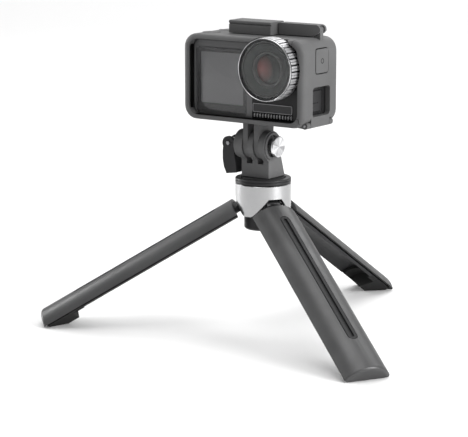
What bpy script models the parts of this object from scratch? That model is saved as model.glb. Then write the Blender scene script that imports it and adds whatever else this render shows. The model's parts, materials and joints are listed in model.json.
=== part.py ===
"""Action camera held in a mounting frame on a folding mini tripod, as separate named pieces.

Sizes are in millimetres and become metres when a mesh is made. While modelling, the origin is on
the tripod's axis at floor level, -Y is the camera's front and +Z is up. At the end the assembly
moves so that the origin is under the middle of the whole object's box.
"""
import math

import bmesh
import bpy
from mathutils import Matrix, Vector

MM = 0.001
GAP = 0.3               # clearance between pieces that touch or nest

# Tripod
LEG_SLOPE = math.radians(31.2)
LEG_LENGTH = 119.5      # leg hinge to toe, along the leg
HUB_RADIUS = 14.0
HUB_BOTTOM = round(LEG_LENGTH * math.sin(LEG_SLOPE) - 2.6, 1)
HUB_TOP = HUB_BOTTOM + 15.7
RING_HEIGHT = 2.5
RING_WIDTH = 2.6
PAD_HEIGHT = 2.8
PIVOT_DROP = 5.0        # leg hinge above the hub's underside
PIVOT_RADIUS = HUB_RADIUS - 5.0
PIVOT_HEIGHT = HUB_BOTTOM + PIVOT_DROP
KNUCKLE_RADIUS = 3.4
POCKET_TOP = PIVOT_HEIGHT + KNUCKLE_RADIUS + 0.6
POCKET_TOP_HALF = 3.5
POCKET_BOTTOM_HALF = HUB_RADIUS - 3.1
LEG_DIRECTIONS = {"right": -30, "back": 90, "left": 210}
LEG_HALF_ANGLE = 59     # half of the sector that one leg fills when folded
SHELL_WALL = 1.6
LINER_WALL = 1.7
TOE_ROUND = 1.5
HEEL_FROM_TOE = 15.4    # length of the solid foot, measured along the leg
STEP_LENGTH = 7.0
STRIP_HALF = 2.6
LEG_PIN_RADIUS = 1.2
SCREW_RADIUS = 3.17     # quarter-inch camera screw
KNOB_RADIUS = HUB_RADIUS - 4.5
KNOB_HEIGHT = 7.4

# Hinge adapter
TILT_Y = -4.4
TILT_Z = HUB_TOP + 19.5
EAR_RADIUS = 7.5
EAR_PITCH = 6.5
PRONG_WIDTH = 2.8
PRONG_RADIUS = EAR_RADIUS - 0.8
BLOCK_WIDTH = 16.2
BLOCK_DEPTH = 14.4
SLOT_FLOOR = TILT_Z - 9.3
BOLT_RADIUS = 2.3
NUT_DEPTH = 5.3
LEVER_OUT = 7.1         # lever pin from the side of the block
LEVER_PIN_RADIUS = 1.0
LEVER_WIDTH = 9.0
LEVER_LENGTH = 15.4
CAM_RADIUS = 3.5

# Camera
BODY_WIDTH = 65.5
BODY_HEIGHT = 39.0
BODY_DEPTH = 24.0
BODY_CORNER = 5.0
BODY_WALL = 1.6
PLATE = 1.9             # casing's front and back wall
LENS_RADIUS = 15.5
RING_DEPTH = 8.75
RING_OUT = 9.45         # front of the lens ring from the casing
TEETH = 30
MOUNT_RADIUS = LENS_RADIUS - 2.6        # lens mount outside the casing
MOUNT_NECK = 11.3       # lens mount where it passes the casing
BARREL_RADIUS = 8.8
BUTTON_RADIUS = 4.5

# Mounting frame
SIDE_WALL = 2.7
TOP_WALL = 1.6
FRONT_RIM = 4.05        # frame's front from the casing's front
REAR_RIM = 3.25
FRAME_WIDTH = BODY_WIDTH + 2 * (GAP + SIDE_WALL)
FRAME_HEIGHT = BODY_HEIGHT + 2 * (GAP + TOP_WALL)
FRAME_DEPTH = BODY_DEPTH + FRONT_RIM + REAR_RIM
FRAME_CORNER = 7.0
FRAME_X = -1.4          # frame centre from the tripod's axis
FRAME_Y = -1.0
FRAME_Z = TILT_Z + FRAME_HEIGHT / 2 + 11.7
RIM_LIP = 0.8
REAR_LIP = 2.6
DOOR_PIN_RADIUS = 0.8
KNUCKLE = 1.7
LATCH_PIN_RADIUS = 0.9

ASSEMBLY = None
CENTRE = Vector((FRAME_X, FRAME_Y, FRAME_Z))
HALF_W, HALF_H, HALF_D = FRAME_WIDTH / 2, FRAME_HEIGHT / 2, FRAME_DEPTH / 2
BODY_W, BODY_H = BODY_WIDTH / 2, BODY_HEIGHT / 2
BODY_FRONT, BODY_BACK = FRONT_RIM - HALF_D, HALF_D - REAR_RIM       # from the frame's centre, along Y
SPLIT = BODY_FRONT + 13.6
CAVITY_W, CAVITY_H = BODY_W + GAP, BODY_H + GAP
LENS_X, LENS_Z = BODY_W - 16.15, BODY_H - 12.6
RING_FRONT = BODY_FRONT - RING_OUT
DOOR_HINGE = (HALF_W - 2.1, -HALF_H + 1.2)
DOOR_EDGE = CAVITY_W + 0.05
DOOR_LUGS = ((BODY_FRONT + 0.4, BODY_FRONT + 3.4), (BODY_BACK - 3.6, BODY_BACK - 0.4))
LATCH_PIN = (HALF_W - 4.6, HALF_H + 3.6)
LATCH_Y = (BODY_FRONT + 7.6, BODY_BACK - 4.4)
LATCH_SET_BACK = 6.0    # lever's front behind the catch's front
CATCH_X = (-HALF_W + 19.7, -HALF_W + 44.7)

MATERIALS = {
    "satin_aluminium": ((0.78, 0.78, 0.79), 0.3, 0.9),
    "bright_steel": ((0.85, 0.85, 0.86), 0.2, 1.0),
    "leg_grey": ((0.09, 0.09, 0.092), 0.45, 0.0),
    "black_plastic": ((0.015, 0.015, 0.016), 0.5, 0.0),
    "frame_grey": ((0.05, 0.05, 0.052), 0.6, 0.0),
    "adapter_grey": ((0.08, 0.08, 0.082), 0.55, 0.0),
    "rubber_black": ((0.02, 0.02, 0.02), 0.8, 0.0),
    "body_grey": ((0.11, 0.11, 0.112), 0.5, 0.0),
    "screen_glass": ((0.04, 0.04, 0.042), 0.08, 0.0),
    "display_grey": ((0.16, 0.16, 0.165), 0.3, 0.0),
    "lens_glass": ((0.05, 0.06, 0.06), 0.03, 0.0),
    "board_green": ((0.03, 0.12, 0.06), 0.5, 0.0),
    "battery_grey": ((0.2, 0.2, 0.21), 0.5, 0.0),
}


def clear_scene():
    """Remove whatever the scene holds."""
    for item in list(bpy.data.objects):
        bpy.data.objects.remove(item, do_unlink=True)


def material(name):
    """Return the named Principled material."""
    found = bpy.data.materials.get(name)
    if found:
        return found
    colour, roughness, metallic = MATERIALS[name]
    made = bpy.data.materials.new(name)
    made.use_nodes = True
    shader = made.node_tree.nodes["Principled BSDF"]
    shader.inputs["Base Color"].default_value = (*colour, 1)
    shader.inputs["Roughness"].default_value = roughness
    shader.inputs["Metallic"].default_value = metallic
    made.diffuse_color = (*colour, 1)
    return made


def pivot(name, at, parent=None, turn=0.0):
    """Make an empty that carries a moving body, at a point in millimetres.

    A turned empty stands at that point turned about the tripod's axis, and its pieces are
    modelled as if it weren't turned.
    """
    empty = bpy.data.objects.new(name, None)
    bpy.context.scene.collection.objects.link(empty)
    empty.parent = parent
    empty.location = Matrix.Rotation(turn, 3, "Z") @ (Vector(at) * MM)
    if parent:
        empty.location -= Vector(parent["reference"])
    empty.rotation_euler = (0, 0, turn)
    empty["reference"] = Vector(at) * MM
    return empty


def solid(name, shape, finish=None, body=None, smooth=True):
    """Make an object from a shape given in millimetres in the assembly's frame."""
    verts, faces = shape
    body = body or ASSEMBLY
    origin = Vector(body["reference"])
    mesh = bpy.data.meshes.new(name)
    mesh.from_pydata([Vector(v) * MM - origin for v in verts], [], faces)
    edit = bmesh.new()
    edit.from_mesh(mesh)
    bmesh.ops.recalc_face_normals(edit, faces=edit.faces)
    edit.to_mesh(mesh)
    edit.free()
    if smooth:
        mesh.shade_smooth()
        mesh.set_sharp_from_angle(angle=math.radians(35))
    made = bpy.data.objects.new(name, mesh)
    bpy.context.scene.collection.objects.link(made)
    made.parent = body
    if finish:
        mesh.materials.append(material(finish))
    return made


def change(target, operation, shape):
    """Cut, join or intersect a target with a shape, through a hidden helper object."""
    body = target.parent
    helper = solid(target.name + "_helper", shape, body=body, smooth=False)
    use_helper(target, operation, helper)


def use_helper(target, operation, helper):
    """Add a Boolean modifier that reads a hidden helper."""
    helper.hide_render = True
    helper.display_type = "WIRE"
    step = target.modifiers.new("shape", "BOOLEAN")
    step.operation = operation
    step.solver = "EXACT"
    step.object = helper


def cut(target, *shapes):
    """Cut each shape out of the target."""
    for shape in shapes:
        change(target, "DIFFERENCE", shape)


def join(target, *shapes):
    """Join each shape to the target."""
    for shape in shapes:
        change(target, "UNION", shape)


def loft(rings):
    """Join rings of equal point counts into a closed shape."""
    count = len(rings[0])
    verts = [point for ring in rings for point in ring]
    faces = [tuple(range(count)), tuple(range(len(verts) - count, len(verts)))]
    for level in range(len(rings) - 1):
        for i in range(count):
            j = (i + 1) % count
            low, high = level * count, (level + 1) * count
            faces.append((low + i, low + j, high + j, high + i))
    return verts, faces


def along(axis, a, b, height):
    """Place outline coordinates (a, b) and a height on the named axis."""
    return {"X": (height, a, b), "Y": (a, height, b), "Z": (a, b, height)}[axis]


def prism(outline, low, high, axis="Z"):
    """Extrude an outline from low to high along an axis."""
    return loft([[along(axis, a, b, h) for a, b in outline] for h in (low, high)])


def arc(centre, radius, start, stop, steps):
    """Points on an arc between two angles in degrees, both ends included."""
    turns = [math.radians(start + (stop - start) * i / steps) for i in range(steps + 1)]
    return [(centre[0] + radius * math.cos(t), centre[1] + radius * math.sin(t)) for t in turns]


def rounded(low, high, radius, steps=5):
    """Outline of a rectangle with round corners, from its low and high corners."""
    (x0, y0), (x1, y1) = low, high
    radius = min(radius, (x1 - x0) / 2.01, (y1 - y0) / 2.01)
    corners = ((x1 - radius, y1 - radius), (x0 + radius, y1 - radius),
               (x0 + radius, y0 + radius), (x1 - radius, y0 + radius))
    points = []
    for i, corner in enumerate(corners):
        points += arc(corner, radius, 90 * i, 90 * i + 90, steps)
    return points


def box(low, high):
    """A plain box from corner to corner."""
    outline = [(low[0], low[1]), (high[0], low[1]), (high[0], high[1]), (low[0], high[1])]
    return prism(outline, low[2], high[2])


def rod(radius, low, high, axis="Z", centre=(0, 0), steps=24):
    """A cylinder along an axis."""
    return prism(arc(centre, radius, 0, 360, steps)[:-1], low, high, axis)


def turned(profile, axis="Z", centre=(0, 0), steps=32, hollow=True):
    """Turn (radius, height) points about an axis: a closed ring, or a solid with flat ends."""
    rings = []
    for radius, height in profile:
        ring = arc(centre, radius, 0, 360, steps)[:-1]
        rings.append([along(axis, a, b, height) for a, b in ring])
    if not hollow:
        return loft(rings)
    verts = [point for ring in rings for point in ring]
    faces = []
    for level in range(len(rings)):
        low, high = level * steps, (level + 1) % len(rings) * steps
        for i in range(steps):
            j = (i + 1) % steps
            faces.append((low + i, low + j, high + j, high + i))
    return verts, faces


def tube(outer, inner, low, high, axis="Z", centre=(0, 0), steps=32):
    """A ring with a square section."""
    return turned([(outer, low), (outer, high), (inner, high), (inner, low)], axis, centre, steps)


def shifted(shape, offset):
    """Move a shape by an offset."""
    verts, faces = shape
    return [tuple(Vector(v) + Vector(offset)) for v in verts], faces


def camera_space(shape):
    """Move a shape from the frame's centre to the assembly."""
    return shifted(shape, CENTRE)


# ---------------------------------------------------------------- tripod

def pocket(turn):
    """The pocket that one leg's tongue swings in, cut up from the hub's underside."""
    depth_in = PIVOT_RADIUS - KNUCKLE_RADIUS - 0.4
    slope = (POCKET_BOTTOM_HALF - POCKET_TOP_HALF) / (POCKET_TOP - HUB_BOTTOM)
    low = HUB_BOTTOM - 1
    wide = POCKET_BOTTOM_HALF + slope
    outline = [(-wide, low), (wide, low), (POCKET_TOP_HALF, POCKET_TOP), (-POCKET_TOP_HALF, POCKET_TOP)]
    verts, faces = prism(outline, depth_in, HUB_RADIUS + 2, "X")
    return [tuple(Matrix.Rotation(turn, 3, "Z") @ Vector(v)) for v in verts], faces


def pin_hole(turn, radius, half_length):
    """A rod shape on a leg's hinge axis."""
    verts, faces = rod(radius, -half_length, half_length, "Y", (PIVOT_RADIUS, PIVOT_HEIGHT), 16)
    return [tuple(Matrix.Rotation(turn, 3, "Z") @ Vector(v)) for v in verts], faces


def build_hub():
    """Hub, its top ring and pad, the camera screw and its knob."""
    bore = SCREW_RADIUS + GAP
    bevel = 0.4
    hub = solid("hub_body", turned([(bore, HUB_BOTTOM), (HUB_RADIUS - bevel, HUB_BOTTOM),
                                    (HUB_RADIUS, HUB_BOTTOM + bevel), (HUB_RADIUS, HUB_TOP - bevel),
                                    (HUB_RADIUS - bevel, HUB_TOP), (bore, HUB_TOP)], steps=48),
                "satin_aluminium")
    for degrees in LEG_DIRECTIONS.values():
        cut(hub, pocket(math.radians(degrees)))
        cut(hub, pin_hole(math.radians(degrees), LEG_PIN_RADIUS + GAP, 8.9))
    low, high = HUB_TOP + GAP, HUB_TOP + GAP + RING_HEIGHT
    middle = (low + high) / 2
    ring_inner = HUB_RADIUS - RING_WIDTH
    solid("hub_top_ring", turned([(ring_inner, low), (HUB_RADIUS, low), (HUB_RADIUS, middle - 0.25),
                                  (HUB_RADIUS - 0.35, middle), (HUB_RADIUS, middle + 0.25),
                                  (HUB_RADIUS, high - 0.4), (HUB_RADIUS - 0.4, high),
                                  (ring_inner, high)], steps=48), "black_plastic")
    solid("hub_rubber_pad", tube(ring_inner - GAP, bore, low, HUB_TOP + GAP + PAD_HEIGHT), "rubber_black")
    for side, degrees in LEG_DIRECTIONS.items():
        solid("leg_" + side + "_pin", pin_hole(math.radians(degrees), LEG_PIN_RADIUS, 8.5), "bright_steel")


def build_knob():
    """The screw that holds the adapter, and the knob that turns it."""
    body = pivot("knob_axis", (0, 0, HUB_BOTTOM), ASSEMBLY)
    top = HUB_BOTTOM - GAP
    low = top - KNOB_HEIGHT
    knob = solid("clamp_knob", turned([(KNOB_RADIUS - 0.8, low), (KNOB_RADIUS, low + 0.8),
                                       (KNOB_RADIUS, top - 0.4), (KNOB_RADIUS - 0.4, top)],
                                      steps=36, hollow=False), "black_plastic", body)
    cut(knob, rod(SCREW_RADIUS + GAP, low + 1.5, top + 1))
    solid("tripod_screw", rod(SCREW_RADIUS, low + 1.5 + GAP, SLOT_FLOOR - 1.2), "bright_steel", body)


def leg_point(s, t, q):
    """A point s along the leg, t across it and q above it, at rest and pointing along +X."""
    out, up = math.cos(LEG_SLOPE), math.sin(LEG_SLOPE)
    return (PIVOT_RADIUS + s * out + q * up, t, PIVOT_HEIGHT - s * up + q * out)


def leg_bar(outline, start, end):
    """Extrude a (t, q) outline along the leg, between two distances from its hinge."""
    return loft([[leg_point(s, t, q) for t, q in outline] for s in (start, end)])


def shell_bar(radius, start):
    """The leg's outer form: an arc along the leg, rounded where it meets the toe."""
    rings = [[leg_point(start, t, q) for t, q in leg_arc(radius, LEG_HALF_ANGLE, 16)]]
    for degrees in (0, 30, 60, 90):
        turn = math.radians(degrees)
        s = LEG_LENGTH - TOE_ROUND * (1 - math.sin(turn))
        less = TOE_ROUND * (1 - math.cos(turn))
        rings.append([leg_point(s, t, q) for t, q in leg_arc(radius - less, LEG_HALF_ANGLE, 16)])
    return loft(rings)


def leg_arc(radius, half_angle, steps):
    """Arc over the leg, from its right edge to its left edge."""
    return arc((0, -PIVOT_RADIUS), radius, 90 - half_angle, 90 + half_angle, steps)


def band(outer, inner, half_angle, steps=8):
    """Outline of a curved band over the leg."""
    return leg_arc(outer, half_angle, steps) + leg_arc(inner, half_angle, steps)[::-1]


def neck_section(s, outer, inner, half, steps=4):
    """One curved section of the tongue, limited to a half width."""
    points = []
    for radius, sign in ((outer, 1), (inner, -1)):
        for i in range(steps + 1):
            t = sign * half * (1 - 2 * i / steps)
            points.append(leg_point(s, t, math.sqrt(radius ** 2 - t ** 2) - PIVOT_RADIUS))
    return points


def leg_slot(margin, low, high, start, end):
    """Stadium shape along the top of the leg, between two heights."""
    half = STRIP_HALF + margin
    outline = rounded((start - margin, -half), (end + margin, half), half - 0.01, 4)
    return loft([[leg_point(s, t, q) for s, t in outline] for q in (low, high)])


def build_leg(side, degrees):
    """One leg: outer shell, inner liner with its hinge tongue, grip strip and foot."""
    turn = math.radians(degrees)
    body = pivot("leg_" + side + "_hinge", (PIVOT_RADIUS, 0, PIVOT_HEIGHT), ASSEMBLY, turn)
    shell_start = PIVOT_DROP + GAP
    wall_outer = HUB_RADIUS
    wall_inner = HUB_RADIUS - SHELL_WALL
    liner_outer = wall_inner - GAP
    liner_inner = liner_outer - LINER_WALL
    heel = LEG_LENGTH - HEEL_FROM_TOE
    slot_start, slot_end = shell_start + 8, heel - 4
    top = wall_outer - PIVOT_RADIUS

    shell = solid("leg_" + side + "_shell", shell_bar(wall_outer, shell_start), "leg_grey", body)
    circle = arc((0, -PIVOT_RADIUS), wall_inner, 0, 360, 32)[:-1]
    cut(shell, leg_bar(circle, shell_start - 5, LEG_LENGTH - SHELL_WALL))
    cut(shell, leg_slot(0, top - 4, top + 5, slot_start, slot_end))

    strip = solid("leg_" + side + "_strip",
                  leg_slot(-GAP, liner_outer - PIVOT_RADIUS + GAP, top - 0.15, slot_start, slot_end),
                  "black_plastic", body)
    cut(strip, leg_slot(-1.7, top - 0.9, top + 5, slot_start, slot_end))

    liner = solid("leg_" + side + "_liner", leg_bar(band(liner_outer, liner_inner, LEG_HALF_ANGLE - 0.5),
                                                    shell_start, heel - STEP_LENGTH - GAP),
                  "black_plastic", body)
    bore = LEG_PIN_RADIUS + GAP
    knuckle = turned([(bore, -5.1), (KNUCKLE_RADIUS, -3.6), (KNUCKLE_RADIUS, 3.6), (bore, 5.1)],
                     "Y", (PIVOT_RADIUS, PIVOT_HEIGHT), 20)
    outer = liner_outer - GAP
    neck = loft([neck_section(-0.2, outer, PIVOT_RADIUS - 2.0, 3.8),
                 neck_section(PIVOT_DROP, outer, liner_inner - 0.2, 6.2),
                 neck_section(shell_start + 1.1, outer, liner_inner + GAP, 6.4)])
    join(liner, neck)
    join(liner, knuckle)
    cut(liner, rod(bore, -8, 8, "Y", (PIVOT_RADIUS, PIVOT_HEIGHT), 16))

    sector = leg_arc(liner_outer, LEG_HALF_ANGLE - 1.0, 8) + [(0, -PIVOT_RADIUS + 0.9)]
    foot = solid("leg_" + side + "_foot", leg_bar(sector, heel, LEG_LENGTH - SHELL_WALL - GAP),
                 "rubber_black", body)
    step = band(liner_outer - 0.1, liner_inner - 1.4, LEG_HALF_ANGLE - 2.0)
    join(foot, leg_bar(step, heel - STEP_LENGTH, heel + 1))
    reach = PIVOT_RADIUS + LEG_LENGTH
    cut(foot, box((reach - 60, -30, -30), (reach + 10, 30, 0)))


# ---------------------------------------------------------------- hinge adapter

def ear_outline(radius, top):
    """Outline in (y, z) of an ear that hangs from a height and is round about the tilt axis."""
    lower = arc((TILT_Y, TILT_Z), radius, 180, 360, 12)
    return lower + [(TILT_Y + radius, top), (TILT_Y - radius, top)]


def build_adapter():
    """Three-eared block on the tripod, with its cross bolt, cam lever, washer and nut."""
    base = HUB_TOP + 2 * GAP + PAD_HEIGHT
    half, deep = BLOCK_WIDTH / 2, BLOCK_DEPTH / 2
    axis = (TILT_Y, TILT_Z)
    upper = arc(axis, EAR_RADIUS, -20, 215, 18)
    outline = [(-deep, base), (deep, base)] + upper + [(-deep, TILT_Z - EAR_RADIUS)]
    block = solid("adapter_block", prism(outline, -half, half, "X"), "adapter_grey")
    join(block, rod(EAR_RADIUS - 0.3, -half - 2.0, -half + 1, "X", axis, 24))
    join(block, rod(EAR_RADIUS - 0.6, half - 1, half + 0.9, "X", axis, 24))
    inner, outer = PRONG_WIDTH / 2 + GAP, EAR_PITCH / 2
    for side in (-1, 1):
        centre = side * outer
        cut(block, box((centre - inner, -20, SLOT_FLOOR), (centre + inner, 20, TILT_Z + 20)))
    cut(block, rod(BOLT_RADIUS + GAP, -half - 5, half + 5, "X", axis, 20))
    cut(block, rod(EAR_RADIUS - 2.0, half - 1.2, half + 5, "X", axis, 24))
    cut(block, rod(SCREW_RADIUS + GAP, base - 1, SLOT_FLOOR - 0.8))
    solid("cam_washer", tube(BOLT_RADIUS + 2.9, BOLT_RADIUS + GAP, -half - 3.3, -half - 2.3, "X", axis, 24),
          "bright_steel")
    build_nut(half, axis)
    build_lever(half, -(half + 3.3 + GAP + CAM_RADIUS))


def build_nut(half, axis):
    """Thumb nut on the bolt's end: a closed disc on a collar."""
    body = pivot("nut_axis", (0, TILT_Y, TILT_Z), ASSEMBLY)
    bore = BOLT_RADIUS + GAP
    collar, disc = bore + 0.6, bore + 2.7
    left, right = half - 0.9, half - 0.9 + NUT_DEPTH
    profile = [(collar, left), (collar, right - 1.7), (disc - 0.3, right - 1.7), (disc, right - 1.4),
               (disc, right - 0.4), (disc - 0.4, right)]
    nut = solid("thumb_nut", turned(profile, "X", axis, 28, False), "bright_steel", body)
    cut(nut, rod(bore, left - 1, right - 0.9, "X", axis, 20))


def build_lever(half, pin_x):
    """Cross bolt with an eye, the pin through it, and the cam lever that hangs beside the ears."""
    at = (pin_x, TILT_Z)
    eye, eye_half = LEVER_PIN_RADIUS + 1.4, 2.6
    wide = LEVER_WIDTH / 2
    bolt = solid("clamp_bolt", rod(BOLT_RADIUS, pin_x, half + NUT_DEPTH - 2.1, "X", (TILT_Y, TILT_Z), 20),
                 "bright_steel")
    join(bolt, rod(eye, TILT_Y - eye_half, TILT_Y + eye_half, "Y", at, 20))
    cut(bolt, rod(LEVER_PIN_RADIUS + GAP, TILT_Y - 9, TILT_Y + 9, "Y", at, 16))
    solid("lever_pin", rod(LEVER_PIN_RADIUS, TILT_Y - wide - 0.3, TILT_Y + wide + 0.3, "Y", at, 16),
          "bright_steel")

    body = pivot("lever_axis", (pin_x, TILT_Y, TILT_Z), ASSEMBLY)
    profile = [(-2.6, 1.5), (-3.3, -4.0), (-3.3, -8.0), (-2.6, -12.0), (-1.0, -LEVER_LENGTH),
               (5.0, -LEVER_LENGTH + 0.9), (4.6, -10.0), (CAM_RADIUS, -4.0), (CAM_RADIUS - 0.5, 0.0)]
    lever = solid("cam_lever", prism([(pin_x + x, TILT_Z + z) for x, z in profile], TILT_Y - wide,
                                     TILT_Y + wide, "Y"), "black_plastic", body)
    join(lever, rod(CAM_RADIUS, TILT_Y - wide, TILT_Y + wide, "Y", at, 24))
    slot = eye_half + GAP
    room = BOLT_RADIUS + GAP
    cut(lever, box((pin_x - 1.5, TILT_Y - slot, TILT_Z - 5.5), (pin_x + 9, TILT_Y + slot, TILT_Z + 9)))
    cut(lever, rod(eye + GAP, TILT_Y - slot, TILT_Y + slot, "Y", at, 20))
    cut(lever, box((pin_x - 9, TILT_Y - room, TILT_Z + 0.5), (pin_x + 9, TILT_Y + room, TILT_Z + 9)))
    cut(lever, rod(LEVER_PIN_RADIUS + GAP, TILT_Y - 9, TILT_Y + 9, "Y", at, 16))


# ---------------------------------------------------------------- mounting frame

def rounded_block(half_w, half_h, corner, levels):
    """Loft of rounded rectangles: each level is (y, inset in x, inset in z)."""
    rings = []
    for y, inset_x, inset_z in levels:
        inset = (inset_x + inset_z) / 2
        outline = rounded((-half_w + inset_x, -half_h + inset_z), (half_w - inset_x, half_h - inset_z),
                          corner - inset, 6)
        rings.append([(a, y, b) for a, b in outline])
    return camera_space(loft(rings))


def edge_levels(front, back, bevel_x, bevel_z, steps=3):
    """Levels of a block whose front and back edges are rounded."""
    front_levels = []
    for i in range(steps + 1):
        a = math.pi / 2 * i / steps
        front_levels.append((front + bevel_x * (1 - math.cos(a)), bevel_x * (1 - math.sin(a)),
                             bevel_z * (1 - math.sin(a))))
    back_levels = [(back - (y - front), x, z) for y, x, z in reversed(front_levels)]
    return front_levels + back_levels


def in_camera(shape_function, *args, **named):
    """Call a shape function and move its result to the frame's centre."""
    return camera_space(shape_function(*args, **named))


def cage(name, body):
    """The whole frame before the door is cut off: outer skin, cavity, openings and lens recess."""
    shell = solid(name, rounded_block(HALF_W, HALF_H, FRAME_CORNER, edge_levels(-HALF_D, HALF_D, 2.4, 1.7)),
                  "frame_grey", body)
    front_lip, rear_lip = BODY_FRONT - GAP, BODY_BACK + GAP
    cavity = rounded((-CAVITY_W, -CAVITY_H), (CAVITY_W, CAVITY_H), BODY_CORNER + GAP, 6)
    cut(shell, in_camera(prism, cavity, front_lip, rear_lip, "Y"))
    wide, tall = CAVITY_W - RIM_LIP, CAVITY_H - RIM_LIP
    opening = rounded((-wide, -tall), (wide, tall), BODY_CORNER, 6)
    cut(shell, in_camera(prism, opening, -HALF_D - 1, front_lip + 1, "Y"))
    wide, tall = CAVITY_W - REAR_LIP, CAVITY_H - REAR_LIP
    window = rounded((-wide, -tall), (wide, tall), BODY_CORNER, 6)
    cut(shell, in_camera(prism, window, rear_lip - 1, HALF_D + 1, "Y"))
    clearance = LENS_RADIUS + 1.5
    cut(shell, in_camera(rod, clearance, -HALF_D - 1, front_lip + 0.01, "Y", (LENS_X, LENS_Z), 36))
    return shell


def door_region(margin):
    """Outline in (x, z) of the part of the frame that belongs to the door."""
    seam_top = HALF_W - FRAME_CORNER + 0.3 - margin
    inner = CAVITY_W - 1.9 - margin
    step = -HALF_H + 5.0 - margin
    return [(DOOR_EDGE - margin, -HALF_H - 9), (HALF_W + 9, -HALF_H - 9), (HALF_W + 9, HALF_H + 9),
            (seam_top, HALF_H + 9), (seam_top, HALF_H - 4.5), (inner, HALF_H - 4.5),
            (inner, step), (DOOR_EDGE - margin, step)]


def build_frame(tilt):
    """Frame shell with its two prongs and door lugs, and the catch on its top."""
    shell = cage("frame_shell", tilt)
    cut(shell, in_camera(prism, door_region(GAP), -HALF_D - 2, HALF_D + 2, "Y"))
    prong_top = FRAME_Z - HALF_H + 1.0
    for side in (-1, 1):
        centre = side * EAR_PITCH / 2
        join(shell, prism(ear_outline(PRONG_RADIUS, prong_top), centre - PRONG_WIDTH / 2,
                          centre + PRONG_WIDTH / 2, "X"))
    cut(shell, rod(BOLT_RADIUS + GAP, -12, 12, "X", (TILT_Y, TILT_Z), 20))
    hinge_x, hinge_z = DOOR_HINGE
    for low, high in DOOR_LUGS:
        lug = [(hinge_x - 6.0, -HALF_H + 0.9), (hinge_x - 6.0, -HALF_H + 0.2)]
        lug += arc(DOOR_HINGE, KNUCKLE, 240, 400, 8) + [(DOOR_EDGE - GAP, hinge_z + KNUCKLE + 0.4)]
        join(shell, in_camera(prism, lug, low, high, "Y"))
    cut(shell, in_camera(rod, KNUCKLE + GAP + 0.1, DOOR_LUGS[0][1], DOOR_LUGS[1][0], "Y", DOOR_HINGE, 20))
    cut(shell, in_camera(rod, DOOR_PIN_RADIUS + GAP, -20, 20, "Y", DOOR_HINGE, 14))
    cut(shell, in_camera(rod, BUTTON_RADIUS + GAP, HALF_H - 3, HALF_H + 2, "Z", SHUTTER_AT, 28))
    cut(shell, in_camera(prism, area(POWER, GAP), HALF_H - 3, HALF_H + 2))
    solid("door_hinge_pin", in_camera(rod, DOOR_PIN_RADIUS, DOOR_LUGS[0][0] - 0.2, DOOR_LUGS[1][1] + 0.2,
                                      "Y", DOOR_HINGE, 16), "bright_steel", tilt)
    build_catch(tilt)


def build_catch(tilt):
    """The catch block that the latch lever closes against."""
    low, high = HALF_H + GAP, HALF_H + 6.6
    front, back = LATCH_Y
    outline = [(front, low), (back, low), (back, high - 2.6), (back - 0.7, high - 2.2), (back, high - 1.8),
               (back, high - 0.4), (back - 0.4, high), (front + 0.4, high), (front, high - 0.4),
               (front, high - 1.4), (front + 0.7, high - 1.8), (front, high - 2.2)]
    solid("latch_catch", in_camera(prism, outline, *CATCH_X, "X"), "frame_grey", tilt, smooth=False)


def build_door(tilt):
    """Side door with its knuckle, window, button pad and latch lever."""
    hinge_x, hinge_z = DOOR_HINGE
    body = pivot("door_axis", CENTRE + Vector((hinge_x, 0, hinge_z)), tilt)
    door = cage("frame_door", body)
    change(door, "INTERSECT", in_camera(prism, door_region(0), -HALF_D - 2, HALF_D + 2, "Y"))
    for low, high in DOOR_LUGS:
        cut(door, in_camera(rod, KNUCKLE + GAP + 0.1, low - GAP, high + GAP, "Y", DOOR_HINGE, 20))
    low, high = DOOR_LUGS[0][1] + GAP, DOOR_LUGS[1][0] - GAP
    arm = [(DOOR_EDGE + 0.1, hinge_z), (hinge_x + KNUCKLE, hinge_z), (HALF_W - 0.35, hinge_z + 5.4),
           (DOOR_EDGE + 0.1, hinge_z + 5.4)]
    join(door, in_camera(prism, arm, low, high, "Y"))
    join(door, in_camera(rod, KNUCKLE, low, high, "Y", DOOR_HINGE, 20))
    cut(door, in_camera(rod, DOOR_PIN_RADIUS + GAP, -20, 20, "Y", DOOR_HINGE, 14))
    cut(door, in_camera(prism, area(SIDE_WINDOW), CAVITY_W - 2, HALF_W + 2, "X"))
    cut(door, in_camera(prism, area(SIDE_PAD, GAP), CAVITY_W - 2, HALF_W + 2, "X"))
    pin_x, pin_z = LATCH_PIN
    middle = (LATCH_Y[0] + LATCH_SET_BACK + LATCH_Y[1]) / 2
    lug = arc(LATCH_PIN, 1.9, -30, 210, 12) + [(pin_x - 1.9, HALF_H - 1.2), (pin_x + 1.7, HALF_H - 4.0)]
    join(door, in_camera(prism, lug, middle - 1.4, middle + 1.4, "Y"))
    cut(door, in_camera(rod, LATCH_PIN_RADIUS + GAP, middle - 3, middle + 3, "Y", LATCH_PIN, 14))

    press = pivot("side_button_axis", CENTRE + Vector((HALF_W, 1, 10)), body)
    solid("side_button_pad", in_camera(prism, area(SIDE_PAD), CAVITY_W + 0.9, HALF_W + 0.25, "X"),
          "frame_grey", press)
    solid("latch_pin", in_camera(rod, LATCH_PIN_RADIUS, middle - 2.3, middle + 2.3, "Y", LATCH_PIN, 14),
          "bright_steel", body)
    build_latch(body, middle)


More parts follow.
